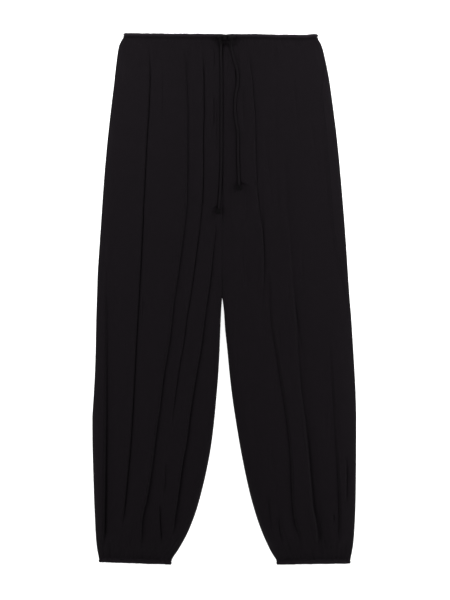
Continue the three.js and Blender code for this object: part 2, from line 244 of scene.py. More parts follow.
# %% [markdown]
# ## The drawstring
#
# A thin cord runs inside the waist casing, comes out at the front, is tied once and ends in two tails. Each
# tail lies on the cloth and has a knot in its end. A curve object with a round bevel would do, but a mesh
# tube can carry the braid: its radius rises and falls a little where the strands cross. Rings of points are
# placed along a smooth line through given points, and each ring is turned as little as possible from
# the last.

# %% Cord helpers
CORD = 5.0

TAIL_RIGHT = [
    (-6.6, 500.6, 14.0), (-6.4, 488, 12.9), (-6.2, 470, 13.2), (-5.8, 450, 13.6), (-5.6, 428, 13.9),
    (-5.4, 405, 14.1), (-5.4, 380, 14.2), (-5.5, 352, 14.3), (-5.6, 324, 14.4), (-5.6, 296, 14.5),
    (-5.9, 268, 14.7), (-6.6, 240, 14.9), (-7.8, 214, 15.2), (-9.4, 192, 15.6), (-10.3, 174.2, 16.6),
]

TAIL_LEFT = [
    (12, 500.6, 15.0), (13.5, 488, 13.9), (16.5, 477, 14.2), (19, 466, 14.5), (23, 453, 14.8),
    (26, 440, 15.1), (26.6, 428, 15.3), (26, 416, 15.4), (23.5, 404, 15.5), (21.5, 390, 15.6),
    (20.8, 376, 15.7), (21, 362, 15.7), (22.8, 346, 15.8), (25.4, 332, 15.9), (26.6, 318, 15.9),
    (26.8, 296, 16.0), (26.9, 272, 16.1), (27.8, 246, 16.3), (28.9, 220.4, 17.2),
]
END_SINK, TAIL_SINK = 1.0, 1.5  # how far the tails settle into the cloth, at their ends and between
TAIL_BED = {  # how wide the cloth stands open beside a tail, from 0 to 1, at distances down from the waist
    "right": table(
        ["down", "open"],
        [[20, 0.5], [44, 0.4], [60, 0], [115, 0], [132, 0.4], [208, 0.4], [232, 0.1], [268, 0.6], [340, 0.6]],
    ),
    "left": table(
        ["down", "open"],
        [[20, 0.2], [40, 0.2], [62, 0], [122, 0], [140, 0.2], [165, 0], [215, 0], [244, 0.4], [300, 0.4]],
    ),
}
POINTS_BETWEEN = 24  # points of a smooth line between two given ones


def line_through(points, step):
    """A smooth line through the points, with a point about every step millimetres."""
    points = np.array(points, dtype=float)
    ends = np.vstack([2 * points[0] - points[1], points, 2 * points[-1] - points[-2]])
    line = []
    for a, b, c, d in zip(ends, ends[1:], ends[2:], ends[3:]):
        t = np.linspace(0, 1, POINTS_BETWEEN, endpoint=False)[:, None]
        bend, twist = 2 * a - 5 * b + 4 * c - d, 3 * b - a - 3 * c + d
        line.append(0.5 * (2 * b + (c - a) * t + bend * t**2 + twist * t**3))
    line = np.vstack([*line, points[-1:]])
    along = np.concatenate([[0], np.cumsum(np.linalg.norm(np.diff(line, axis=0), axis=1))])
    even = np.linspace(0, along[-1], max(int(along[-1] / step), 4) + 1)
    return np.stack([np.interp(even, along, line[:, axis]) for axis in range(3)], axis=1), even


def ring_frames(line):
    """Two directions across the line at each of its points, turning as little as they can."""
    along = np.gradient(line, axis=0)
    along /= np.linalg.norm(along, axis=1)[:, None]
    side = np.cross(along[0], (0, 0, 1) if abs(along[0][2]) < 0.9 else (1, 0, 0))
    sides = []
    for direction in along:
        side = side - direction * side.dot(direction)
        side /= np.linalg.norm(side)
        sides.append(side)
    sides = np.array(sides)
    return sides, np.cross(along, sides)


def mesh_object(name, points, faces, cut):
    """A mesh object in metres from points in millimetres.

    cut holds the place on the flat cut of each corner of each face.
    """
    mesh = bpy.data.meshes.new(name)
    mesh.from_pydata((np.asarray(points) * MM).tolist(), [], faces)
    layer = mesh.uv_layers.new(name="cut")
    layer.data.foreach_set("uv", (np.asarray(cut) * MM).astype(np.float32).ravel())
    mesh.shade_smooth()
    piece = bpy.data.objects.new(name, mesh)
    bpy.context.scene.collection.objects.link(piece)
    return piece


def grid_faces(rows, columns, across, along, ring=False, loop=False):
    """The quads of a grid of points and their places on the flat cut, one for each corner of each quad.

    With ring, the last column joins the first, and with loop the last row joins the first. across and along
    then hold one more value than there are columns or rows, so that the pattern runs on over the join.
    """
    i, j = np.meshgrid(np.arange(rows if loop else rows - 1), np.arange(columns if ring else columns - 1),
                       indexing="ij")
    corners = [(i, j), (i, j + 1), (i + 1, j + 1), (i + 1, j)]
    faces = np.stack([a % rows * columns + b % columns for a, b in corners], -1).reshape(-1, 4)
    cut = np.stack([np.stack([across[a, b], along[a, b]], -1) for a, b in corners], 2).reshape(-1, 2)
    return faces.tolist(), cut


# %% Braided cord
SIDES = 28
BRAID_PITCH = 9.0  # a strand goes once round in this length
STRANDS = 4  # this many each way
STRAND_RISE, STRAND_FALL = 0.34, 0.24  # how the radius changes where the strands cross


def braided_tube(name, points, diameter=CORD, step=0.55):
    """A tube of braided cord along a line, with its ends rounded off."""
    line, along = line_through(points, step)
    side, up = ring_frames(line)
    angle = np.linspace(0, 2 * math.pi, SIDES, endpoint=False)
    turn = 2 * math.pi * along[:, None] / BRAID_PITCH
    crossing = np.maximum(np.cos(STRANDS * (angle + turn)), np.cos(STRANDS * (angle - turn)))
    relief = STRAND_RISE * crossing - STRAND_FALL
    reach = np.minimum(along, along[-1] - along)[:, None] / (diameter / 2)
    taper = np.sqrt(1 - (1 - np.clip(reach, 0.02, 1)) ** 2)
    radius = (diameter / 2 + relief) * taper
    points = line[:, None] + radius[..., None] * (
        np.cos(angle)[None, :, None] * side[:, None] + np.sin(angle)[None, :, None] * up[:, None]
    )
    across = np.linspace(0, math.pi * diameter, SIDES + 1)[None]
    across, lengthwise = np.broadcast_arrays(across, along[:, None])
    faces, cut = grid_faces(len(line), SIDES, across, lengthwise, ring=True)
    last = (len(line) - 1) * SIDES
    faces += [list(range(SIDES))[::-1], list(range(last, last + SIDES))]
    cut = np.vstack([cut, np.zeros((2 * SIDES, 2))])
    return mesh_object(name, points.reshape(-1, 3), faces, cut), line, along[-1]


# %% The two tails
def settled(route):
    """A tail's route, sunk into the cloth."""
    route = np.array(route, dtype=float)
    y = route[:, 1]
    between = ease(y[0] - y, 4, 30) * ease(y - y[-1], 4, 30)
    route[:, 2] -= blend(END_SINK, TAIL_SINK, between)
    return route


tails = {}
for side, route in {"right": TAIL_RIGHT, "left": TAIL_LEFT}.items():
    tail, line, length = braided_tube(f"cord_tail_{side}", settled(route))
    tails[side] = {"piece": tail, "line": line * MM, "length": length * MM}
    print(f"tail {side}: {length:.0f} mm long, {len(tail.data.polygons)} faces")

# %% [markdown]
# ## The outline of the garment
#
# The legs are wide and end in gathered ankles, and the crotch is low, at half the garment's length. Each
# leg is a flat tube: a back panel on the table and a front panel on it, joined at the outseam and, below
# the crotch, at the inseam. The outline and the waist's edge are the same tables as the solids', so both have
# one outline. The heights are too, but for a front that is up to 1.2 mm fuller at the hems.

# %% Sizes of the garment
LENGTH = 1040.0
TOP, BOTTOM = 13.0, 1029.6  # where the panels meet the casings
TUCK = 3.0  # how far a panel runs on inside its casing
CROTCH = 516.0
MERGE = 80.0  # over this distance above the crotch the legs become one
SEAM_GAP = 0.3
CLOTH = 0.6  # the shell's thickness
EDGE_INSET = 0.75  # the shell's middle lies this far inside the outline

OUTLINE = table(
    ["down", "right_side", "right_inner", "left_inner", "left_side"],
    [
        [13, -197.6, -4, -4, 183.6],
        [20, -202, -4, -4, 188],
        [30, -206.3, -4, -4, 192],
        [53, -210.2, -4, -4, 197.5],
        [76, -213, -4, -4, 202.4],
        [100, -215.6, -4, -4, 206.6],
        [147, -221.3, -4, -4, 213],
        [194, -226.6, -4, -4, 219],
        [241, -231.3, -4, -4, 224],
        [288, -235.2, -4, -4, 228.3],
        [334, -238.5, -4, -4, 232.2],
        [381, -241.6, -4, -4, 235.9],
        [428, -244.8, -4, -4, 239.2],
        [472, -247.6, -4, -4, 242],
        [516, -249, -4, -4, 245],
        [545, -250, -5.4, -1.3, 247.4],
        [580, -250.8, -7, 1, 249.8],
        [616, -251.4, -8.2, 4.8, 252],
        [663, -252.9, -10.6, 9.2, 254.8],
        [710, -255.4, -14.4, 14.6, 257],
        [757, -258, -18.8, 21.6, 258],
        [804, -257.6, -24.6, 29.4, 257.8],
        [851, -256.3, -33, 38.4, 257.5],
        [898, -254.8, -44, 48.8, 256.9],
        [930, -253.6, -53, 57.6, 256.2],
        [958, -252.4, -63, 66.6, 255],
        [980, -251.4, -72.6, 75, 253.8],
        [1000, -250, -83.4, 84, 252],
        [1014, -248.4, -92, 91, 250],
        [1022, -247, -97.6, 95.8, 248.6],
        [1029.6, -245.6, -102, 101, 247],
    ],
)
WAIST_EDGE = table(
    ["x", "below"],
    [
        [-198, 0], [-150, 0.8], [-60, 1.6], [-8, 2], [4, 3.2], [16, 2],
        [70, 2.2], [105, 3.4], [160, 3.6], [176, 2], [184, 3.2],
    ],
)
HEIGHTS = table(
    ["down", "crown", "seam", "roll"],
    [
        [13, 9.2, 5.6, 7],
        [40, 10.4, 5.6, 12],
        [100, 11.6, 5.7, 17],
        [300, 12.6, 6, 21],
        [516, 13.6, 6.4, 23],
        [760, 17, 7.4, 26],
        [930, 21, 8.6, 28],
        [985, 19.8, 8, 25],
        [1014, 13.2, 6.2, 17],
        [1029.6, 8.6, 4.6, 8],
    ],
)


def outline(column, down):
    return smooth(down, OUTLINE["down"], OUTLINE[column])


def height(column, down):
    return smooth(down, HEIGHTS["down"], HEIGHTS[column])


def waist_edge(x):
    return smooth(x, WAIST_EDGE["x"], WAIST_EDGE["below"])


# %% [markdown]
# ## The long folds
#
# Loose cloth that is gathered at both ends lies in long, soft folds. Each is a trough that wanders down a
# front. On one side the cloth falls in steeply under a small lip, which makes a thin dark line, and on the
# other it rises slowly, which makes a soft band. A plain wave would give neither, so the two sides have
# widths of their own, and the lip is moved sideways over the trough.
#
# A fold's line is a few listed points, down from the waist and along X. steep is the side of the picture
# where the cloth falls in. depth is a share of the room between the front and the back, at the start, the
# middle and the end. edge and soft are the widths of the two sides, lip is how far the edge reaches over, and
# fade is how long each end takes to run out.

# %% The long folds
def fold(steep, depth, edge, soft, lip, fade, line):
    downs, xs = np.array(line, dtype=float).T
    return {"way": 1 if steep == "left" else -1, "depth": depth, "edge": edge, "soft": soft, "lip": lip,
            "fade": fade, "downs": downs, "xs": xs}


FOLDS = {
    "right": [
        fold("left", (0.34, 0.42, 0.3), 1.6, (4, 9), 0.7, (60, 50), [
            (30, -145.3), (70, -144.7), (119, -146), (166, -148), (207, -151), (250, -153.2),
            (375, -159.3), (502, -165.8), (620, -172.6), (717, -177.5), (796, -182.4), (864, -188.3),
            (936, -195.1), (975, -198.5),
        ]),
        fold("left", (0.3, 0.44, 0.4), 2.4, (7, 18), 0.4, (45, 36), [
            (24, -75.5), (68, -74), (109, -72.7), (152, -71.3), (258, -71.6), (330, -72.9), (389, -78.8),
            (424, -83), (479, -90.7), (520, -96.8), (600, -106.2), (669, -117.5), (737, -125.7),
            (776, -131.6), (854, -141.3), (913, -151), (942, -158), (968, -160.6), (1012, -161.4),
        ]),
        fold("left", (0.32, 0.32, 0.24), 1.4, (3.5, 7), 0.8, (60, 110), [
            (26, -41.6), (96, -40.5), (152, -40), (207, -41.4), (258, -41.2), (330, -43.4), (377, -48),
            (424, -54), (479, -61.2), (520, -67), (555, -72.9), (600, -78.6), (659, -88.6), (717, -96.4),
            (810, -106.6),
        ]),
        fold("left", (0.36, 0.4, 0.34), 2.0, (6, 14), 0.6, (40, 46), [
            (352, -13.6), (389, -16.6), (424, -20.9), (479, -26.8), (520, -32.6), (555, -37.6),
            (610, -44.4), (673, -55.3), (741, -66), (798, -73.3), (845, -81.6), (903, -89.5), (958, -97),
            (994, -99.5),
        ]),
        fold("left", (0.28, 0.6, 0.65), 3.4, (13, 11), 0, (110, 40), [
            (440, -227), (581, -228), (717, -229), (772, -229.5), (856, -230.5), (968, -232), (1014, -234),
        ]),
        fold("left", (0.08, 0.12, 0.08), 2.4, (6, 6), 0.1, (50, 60), [
            (50, -118.7), (120, -118.5), (200, -119.6),
        ]),
        fold("left", (0.16, 0.2, 0.16), 1.6, (4, 4), 0.4, (14, 20), [
            (505, -157.8), (535, -158.6), (572, -160.4),
        ]),
        fold("left", (0.14, 0.2, 0.14), 2.2, (7, 6), 0.2, (30, 40), [
            (826, -112), (872, -114.6), (925, -119),
        ]),
        fold("left", (0.22, 0.3, 0.28), 1.8, (7, 6), 0.4, (24, 24), [
            (912, -124.4), (940, -125.6), (965, -124.6), (1002, -121.6),
        ]),
        fold("left", (0.14, 0.24, 0.2), 1.4, (3.5, 3.5), 0.4, (20, 30), [
            (22, -20), (50, -19.8), (86, -20.6),
        ]),
        fold("left", (0.2, 0.25, 0.2), 1.4, (3.5, 3.5), 0.4, (24, 24), [
            (112, -20.8), (150, -20.6), (196, -21.4),
        ]),
        fold("left", (0.2, 0.28, 0.2), 1.4, (3.5, 3.5), 0.4, (30, 30), [
            (112, -14.2), (150, -14.4), (250, -13.6),
        ]),
    ],
    "left": [
        fold("left", (0.24, 0.24, 0.24), 1.5, (5, 7), 0.9, (44, 100), [
            (30, 47.2), (51, 48.3), (94, 54.2), (135, 57.3), (170, 60), (240, 61.4), (307, 63.9),
            (354, 69.2), (395, 74.7), (444, 77.2), (502, 77), (575, 78.4),
        ]),
        fold("right", (0.24, 0.34, 0.36), 3.2, (6, 14), 0, (70, 44), [
            (440, 85.6), (502, 87.4), (551, 89.4), (590, 94.2), (630, 101.4), (669, 107), (727, 116.7),
            (786, 124.2), (845, 129), (905, 131), (948, 135.6), (987, 145.4), (1002, 149),
        ]),
        fold("left", (0.1, 0.3, 0.46), 3.6, (6, 12), 0, (120, 34), [
            (190, 115.4), (270, 119.4), (330, 122.6), (389, 128), (424, 130.6), (479, 134.3), (538, 139.8),
            (600, 143.4), (688, 149.6), (757, 158.6), (815, 164.4), (874, 169.6), (929, 174.6),
            (953, 179.6), (984, 183.4), (1014, 184.2),
        ]),
        fold("right", (0.18, 0.28, 0.38), 3.6, (10, 8), 0, (60, 40), [
            (600, 205.6), (650, 206.6), (713, 210), (776, 213.5), (864, 219.3), (913, 221.6), (950, 222.6),
            (984, 221), (1006, 218.4),
        ]),
        fold("left", (0.2, 0.24, 0.2), 1.4, (4, 4), 0.4, (30, 30), [
            (820, 237.2), (870, 237.9), (925, 237.6),
        ]),
        fold("left", (0.2, 0.28, 0.24), 1.5, (5, 5), 0.3, (24, 20), [
            (926, 212), (945, 212.4), (966, 213.2),
        ]),
        fold("right", (0.12, 0.16, 0.14), 2.6, (8, 7), 0.1, (34, 34), [
            (890, 84), (925, 87), (985, 93),
        ]),
        fold("right", (0.2, 0.24, 0.2), 2.4, (8, 7), 0.2, (26, 30), [
            (936, 104), (965, 107.4), (1004, 113),
        ]),
        fold("left", (0.1, 0.16, 0.12), 2.0, (6, 6), 0.2, (50, 50), [
            (410, 43.4), (465, 43.6), (530, 44.6),
        ]),
        fold("left", (0.12, 0.16, 0.12), 1.6, (5, 5), 0.2, (30, 40), [
            (22, 21.6), (60, 22.4), (120, 23),
        ]),
        fold("left", (0.1, 0.15, 0.1), 1.8, (5, 5), 0.1, (24, 24), [
            (100, 36), (140, 36.4), (196, 38.4),
        ]),
        fold("right", (0.08, 0.1, 0.08), 6, (16, 16), 0, (90, 110), [
            (50, 96), (180, 99), (400, 104),
        ]),
        fold("left", (0.2, 0.24, 0.2), 1.8, (6, 6), 0.3, (24, 16), [
            (962, 192), (990, 194), (1014, 196),
        ]),
    ],
}


def fold_lines(side, down):
    """For each fold of a front: where it lies along X, how deep and wide it is there, and its row."""
    for row in FOLDS[side]:
        first, last = row["downs"][0], row["downs"][-1]
        t = np.clip((down - first) / (last - first), 0, 1)
        present = ease(down, first, first + row["fade"][0]) * (1 - ease(down, last - row["fade"][1], last))
        depth = present * smooth(t, np.array([0, 0.5, 1]), np.array(row["depth"]))
        soft = blend(*row["soft"], t) * (0.4 + 0.6 * present)
        yield smooth(down, row["downs"], row["xs"]), depth, soft, present, row


# %% [markdown]
# ## Fine gathers
#
# The elastic bunches the cloth into small pleats that fade away within a hand's length, and the loose cloth
# between has long shallow ripples. There are many, none alike, so they are drawn from a seeded random
# generator: each has a place, a length, a width and a depth, and the seed makes them the same on each run.

# %% Fine gathers
def gathers(seed, count, ends, lengths, widths, depths, drift=0.01):
    """Short pleats: share across, first and last distance down, width, depth and sideways drift."""
    random = np.random.default_rng(seed)
    share = (np.arange(count) + random.uniform(-0.38, 0.38, count) + 0.5) / count
    length = random.uniform(*lengths, count) * random.uniform(0.5, 1, count)
    if ends == "waist":
        first, last = np.full(count, TOP - 60), TOP + length
    elif ends == "hem":
        first, last = BOTTOM - length, np.full(count, BOTTOM + 60)
    else:
        first = random.uniform(*ends, count)
        last = first + length
    return list(zip(
        share, first, last,
        random.uniform(*widths, count), random.uniform(*depths, count), random.normal(0, drift, count),
    ))


GATHERS = {
    "right": (
        gathers(11, 42, "waist", (30, 190), (1.8, 3.6), (0.2, 0.75))
        + gathers(15, 56, "waist", (14, 60), (1.2, 2.0), (0.4, 1.2))
        + gathers(12, 34, "hem", (30, 130), (2.0, 4.2), (0.5, 1.7), 0.02)
        + gathers(16, 40, "hem", (16, 64), (1.6, 2.8), (0.8, 2.6))
        + gathers(13, 26, (60, 800), (120, 380), (2.2, 5), (0.3, 1.0), 0.015)
    ),
    "left": (
        gathers(21, 42, "waist", (30, 190), (1.8, 3.6), (0.2, 0.75))
        + gathers(25, 56, "waist", (14, 60), (1.2, 2.0), (0.4, 1.2))
        + gathers(22, 34, "hem", (30, 140), (2.0, 4.2), (0.5, 1.7), 0.02)
        + gathers(26, 40, "hem", (16, 64), (1.6, 2.8), (0.8, 2.6))
        + gathers(23, 34, (60, 800), (120, 380), (2, 4.5), (0.5, 1.6), 0.015)
    ),
}
BACK_CREASES = {
    "right": gathers(14, 9, (60, 500), (260, 560), (5, 9), (0.4, 0.9), 0.01),
    "left": gathers(24, 9, (60, 500), (260, 560), (5, 9), (0.4, 0.9), 0.01),
}
print("fine gathers:", {side: len(pleats) for side, pleats in GATHERS.items()})

# %% [markdown]
# ## The cross-section of a leg
#
# A leg's section runs from the inner edge over the front to the outseam, round the side and back along the
# table. One number, round, runs along it: 0 to 1 is the rounded inner edge of the front, up to 2 is its
# flat, up to 3 its rounded side, up to 4 the rounded side of the back, up to 5 the flat back and up to 6
# the back's inner edge. Above the crotch the legs are one, so the inner edge is flat there and meets its
# neighbour in the centre seam.

# %% Cross-section
TOWARDS = {"right": -1, "left": 1}
HEM_RISE = {"right": 5, "left": 2}  # how much nearer to the waist a hem lies at its outer end
ROUNDER = {"right": 1.1, "left": 1.6}  # how much wider the outseam's round is than the inseam's
LEFT_ROLL = 72 / 90  # the share of the quarter turn by which the left outseam has rolled to the front
REST = CLOTH / 2 + 0.05  # the middle of the back's cloth, just clear of the table
WAIST_FLOOR, HEM_FLOOR = 2.75, 2.3  # the same where the back goes into a casing


def seam_roll(side, down):
    """How far the outseam has rolled onto the front, as a share of the quarter turn."""
    if side == "right":
        return np.zeros_like(down)
    return ease(down, 30, 120) * (1 - ease(down, 360, 640)) * LEFT_ROLL


def leg_section(side, round_, down):
    """How far out each point of a leg lies from its inner edge, and what its height is worked out from."""
    inner = outline(f"{side}_inner", down)
    outer = outline(f"{side}_side", down)
    apart = ease(down, CROTCH - MERGE, CROTCH)
    towards = TOWARDS[side]
    open_ = ease(down, CROTCH - 6, CROTCH + 12)
    inner = inner + towards * blend(-0.3, SEAM_GAP / 2 + EDGE_INSET, open_)
    outer = outer - towards * EDGE_INSET
    width = np.abs(outer - inner)
    roll_inner = height("roll", down)
    roll_outer = roll_inner * ROUNDER[side]
    crown, seam = height("crown", down), height("seam", down)
    floor = blend(blend(WAIST_FLOOR, REST, ease(down, 10, 60)), HEM_FLOOR, ease(down, 985, BOTTOM))
    zone = np.clip(np.floor(round_), 0, 5)
    share = round_ - zone
    quarter = math.pi / 2
    turn_in = quarter * np.where(zone == 0, share, 1 - share)
    turn_out = quarter * np.where(zone == 2, 1 - share, share)
    level = np.where(zone == 1, share, 1 - share)
    off = np.select(
        [(zone == 0) | (zone == 5), (zone == 1) | (zone == 4)],
        [roll_inner * (1 - np.cos(turn_in)), roll_inner + (width - roll_inner - roll_outer) * level],
        width - roll_outer * (1 - np.cos(turn_out)),
    )
    rise = np.select(
        [(zone == 0) | (zone == 5), (zone == 1) | (zone == 4)],
        [blend(1 - np.cos(turn_in), np.sin(turn_in), apart), np.ones_like(off)],
        np.sin(turn_out),
    )
    edge = np.select(
        [zone == 0, zone == 5], [blend(crown - 1.6, seam, apart), blend(floor, seam, apart)], seam
    )
    return inner, off, width, rise, edge, crown, floor


def fold_shift(side, x, off, width, down, room):
    """How far the folds lower the front, how far their lips rise and reach over, the gathers and swell."""
    drop, ridge, push, small = (np.zeros_like(off) for _ in range(4))
    for line, depth, soft, present, row in fold_lines(side, down[:, :1]):
        away = (x - line) * row["way"]  # negative on the steep side
        edge = row["edge"]
        shape = np.where(away < 0, np.exp(-np.abs(away / edge) ** 2.2), np.exp(-np.abs(away / soft) ** 1.3))
        drop = np.maximum(drop, depth * shape)
        push += row["way"] * present * row["lip"] * np.exp(-(((away + 1.8 * edge) / (1.2 * edge)) ** 2))
        ridge += row["lip"] * depth * np.exp(-(((away + 3.2 * edge) / (2.6 * edge)) ** 2))
    for share, first, last, wide, deep, drift in GATHERS[side]:
        span = last - first
        middle = (first + last) / 2
        each_row = down[:, :1]
        live = ease(each_row, first, first + 0.45 * span) * (1 - ease(each_row, last - 0.6 * span, last))
        across = (share + drift * (down - middle) / 100) * width
        small += deep * live * np.exp(-(((off - across) / wide) ** 2))
    swell = (
        0.4 * np.sin(off / 19 + down / 83 + 1.3 * TOWARDS[side])
        + 0.3 * np.sin(off / 31 - down / 127 + 0.4)
        + 0.2 * np.sin(off / 13 + down / 210)
    )
    return drop * room, ridge, push, small, swell


# %% [markdown]
# ## Front and back panels
#
# A grid of points is laid over each panel and the section gives each point its place. At a front's folds and
# tails the columns move closer together, so these are round without a finer grid everywhere. The grid
# becomes a mesh, a Solidify modifier gives it the cloth's thickness, and its UV map says where each point
# was on the flat cut.

# %% Panel grids
FRONT_COLUMNS, FRONT_ROWS = 186, 260
BACK_COLUMNS, BACK_ROWS = 96, 200
SHOULDER, SHOULDER_REACH = 2.5, 10  # how high the cloth stands beside a tail, and how far away it fades
BED_DEEP, BED_WIDE, BED_OPEN = 4.4, 2.05, 0.6  # the bed under a tail, and how much wider an open one is
BED_STEEP = 3.4
HOLLOW_X, HOLLOW_DEEP = 3, 5  # the hollow where the cords leave the casing: its place along X and its depth
CENTRE_SEAM_DEEP, CENTRE_SEAM_WIDE = 0.8, 1.8
OUTSEAM_HIGH, OUTSEAM_WIDE = 0.9, 1.9


def rows_down(count):
    """Distances down from the waist, closer together near both casings."""
    share = np.linspace(0, 1, count)
    share = share - 0.1 * np.sin(2 * math.pi * share)
    return TOP - TUCK + (BOTTOM - TOP + 2 * TUCK) * share[:, None]


def front_rounds(side, down):
    """Where each row's columns lie round the section: evenly by length, but closer at folds and tails."""
    fine = np.linspace(0, 1, 900)
    rounds = []
    for row in down[:, 0]:
        here = np.array([row])
        round_ = fine * (3 - seam_roll(side, here)[0])
        inner, off, width, rise, edge, crown, floor = leg_section(side, round_, np.full_like(round_, row))
        x, z = inner + TOWARDS[side] * off, blend(edge, crown, rise)
        along = np.concatenate([[0], np.cumsum(np.hypot(np.diff(off), np.diff(z)))])
        density = np.ones_like(off)
        for line, depth, soft, present, fold_row in fold_lines(side, here):
            away = (x - line[0]) * fold_row["way"]
            reach = np.where(away < 0, 3.5 * fold_row["edge"], 1.5 + 0.6 * soft[0])
            density += 2.6 * present[0] * np.exp(-((away / reach) ** 2))
        for away, live, _ in beside_tails(x, np.full_like(x, LENGTH / 2 - row)):
            density += 3.4 * live * np.exp(-((away / 4) ** 2))
        total = np.concatenate([[0], np.cumsum(0.5 * (density[1:] + density[:-1]) * np.diff(along))])
        rounds.append(np.interp(np.linspace(0, total[-1], FRONT_COLUMNS), total, round_))
    return np.array(rounds)


def beside_tails(x, y):
    """For each tail: how far along X a point lies from it, whether it is there, and how open its bed is."""
    for side, tail in tails.items():
        line = tail["line"][::-1] / MM
        end, start = line[0, 1], line[-1, 1]
        there = ease(y, end - 2, end + 8) * (1 - ease(y, start - 14, start))
        bed = TAIL_BED[side]
        open_ = smooth(LENGTH / 2 - y, bed["down"], bed["open"])
        yield x - np.interp(y, line[:, 1], line[:, 0]), there, open_


def cord_bed(x, y):
    """The cloth gives way under a cord and stands up a little beside it."""
    bed = np.zeros_like(x)
    for away, live, open_ in beside_tails(x, y):
        wide = BED_WIDE + BED_OPEN * open_
        shoulder = SHOULDER * np.exp(-((away / SHOULDER_REACH) ** 2))
        bed += live * (shoulder - BED_DEEP * np.exp(-np.abs(away / wide) ** BED_STEEP))
    return bed


def knot_hollow(x, down):
    """The cloth at the casing's lower edge is drawn in where the cords come out."""
    return HOLLOW_DEEP * np.exp(-(((x - HOLLOW_X) / 12) ** 2)) * np.exp(-(((down - TOP - 1) / 5) ** 2))


def centre_seam(off, down):
    """Above the crotch the two fronts are sewn together, which draws the cloth in."""
    draw_in = CENTRE_SEAM_DEEP * np.exp(-((off / CENTRE_SEAM_WIDE) ** 2))
    return draw_in * (1 - ease(down, CROTCH - MERGE, CROTCH))


def under_casing(x, down):
    """The cloth dips where it comes out from under the waist casing, more in some places than in others."""
    return 1.3 * np.exp(-(((down - TOP - 2.2) / 2.4) ** 2)) * (0.55 + 0.45 * np.cos((x + 96) / 62))


def place(side, inner, off, down):
    """X and Y of points that lie off millimetres out from a leg's inner edge."""
    x = inner + TOWARDS[side] * off
    width = np.abs(outline(f"{side}_side", down) - outline(f"{side}_inner", down))
    start = waist_edge(x) + 10 + 2 * SEAM_GAP - TOP
    lift = HEM_RISE[side] * off / width * ease(down, 900, BOTTOM) - start * (1 - ease(down, TOP, 76))
    return x, LENGTH / 2 - down + lift


def front_grid(side):
    down = rows_down(FRONT_ROWS)
    round_ = front_rounds(side, down)
    down = np.broadcast_to(down, round_.shape)
    inner, off, width, rise, edge, crown, floor = leg_section(side, round_, down)
    settle = np.minimum(ease(down, TOP - 4, TOP + 22), 1 - ease(down, BOTTOM - 12, BOTTOM + 2))
    lowest = floor + CLOTH + 1.2
    x, y = place(side, inner, off, down)
    drop, ridge, push, small, swell = fold_shift(side, x, off, width, down, crown - lowest)
    near_casing = np.maximum(1 - ease(down, TOP, TOP + 40), ease(down, BOTTOM - 40, BOTTOM))
    from_outseam = off[:, -1:] - off
    clear = ease(from_outseam, 0, 12)
    top = crown - clear * (drop + small * blend(1, 0.7, near_casing) - settle * (ridge + swell))
    top = np.maximum(top, lowest)
    z = blend(edge, top - under_casing(x, down), rise) - centre_seam(off, down)
    z = z + settle * outseam_relief(from_outseam)
    z = np.maximum(z + cord_bed(x, y) - knot_hollow(x, down), lowest)
    return np.stack([x + clear * push * rise * settle, y, z], axis=-1), down


def outseam_relief(away):
    """The outseam's allowance lifts the cloth a little into a low ridge."""
    return OUTSEAM_HIGH * np.exp(-((away / OUTSEAM_WIDE) ** 2))


def back_grid(side):
    """The back lies on the table, with a few soft creases that stand up from it."""
    down = rows_down(BACK_ROWS)
    share = np.linspace(0, 1, BACK_COLUMNS)[None]
    first = 3 - seam_roll(side, down)
    round_ = np.where(
        share < 0.25,
        first + (4 - first) * share / 0.25,
        np.where(share < 0.88, 4 + (share - 0.25) / 0.63, 5 + (share - 0.88) / 0.12),
    )
    down = np.broadcast_to(down, round_.shape)
    inner, off, width, rise, edge, crown, floor = leg_section(side, round_, down)
    creases = np.zeros_like(off)
    lies_flat = (round_ > 4) * ease(down, 60, 130) * (1 - ease(down, 930, 985))
    for share, first, last, wide, deep, drift in BACK_CREASES[side]:
        span = last - first
        live = ease(down, first, first + 0.3 * span) * (1 - ease(down, last - 0.4 * span, last))
        across = (share + drift * (down - (first + last) / 2) / 100) * width
        creases = np.maximum(creases, deep * live * np.exp(-(((off - across) / wide) ** 2)))
    z = blend(edge, np.where(round_ < 3, crown, floor), rise) + creases * lies_flat
    settle = np.minimum(ease(down, TOP - 4, TOP + 22), 1 - ease(down, BOTTOM - 12, BOTTOM + 2))
    z += settle * (round_ < 3.4) * outseam_relief(np.abs(off - off[:, :1]) + 2 * (round_ > 3))
    x, y = place(side, inner, off, down)
    return np.stack([x, y, z], axis=-1), down


def panel(name, grid, down, flip):
    """A panel's shell, with a UV map that holds its place on the flat cut in metres."""
    rows, columns = grid.shape[:2]
    across = np.linalg.norm(np.diff(grid, axis=1), axis=2)
    u = np.concatenate([np.zeros((rows, 1)), np.cumsum(across, axis=1)], axis=1)
    u -= u[:, columns // 2][:, None]
    faces, cut = grid_faces(rows, columns, u, -down)
    if flip:
        faces = [face[::-1] for face in faces]
        cut = cut.reshape(-1, 4, 2)[:, ::-1]
    piece = mesh_object(name, grid.reshape(-1, 3), faces, cut)
    wall = piece.modifiers.new("cloth", "SOLIDIFY")
    wall.thickness = CLOTH * MM
    wall.offset = 0
    widest, longest = (u[:, -1] - u[:, 0]).max(), down[-1, 0] - down[0, 0]
    return piece, (float(widest) * MM, float(longest) * MM)


def apply_modifiers(piece):
    bpy.ops.object.select_all(action="DESELECT")
    bpy.context.view_layer.objects.active = piece
    piece.select_set(True)
    for modifier in list(piece.modifiers):
        bpy.ops.object.modifier_apply(modifier=modifier.name)


def cloth_area(piece):
    return sum(face.area for face in piece.data.polygons)


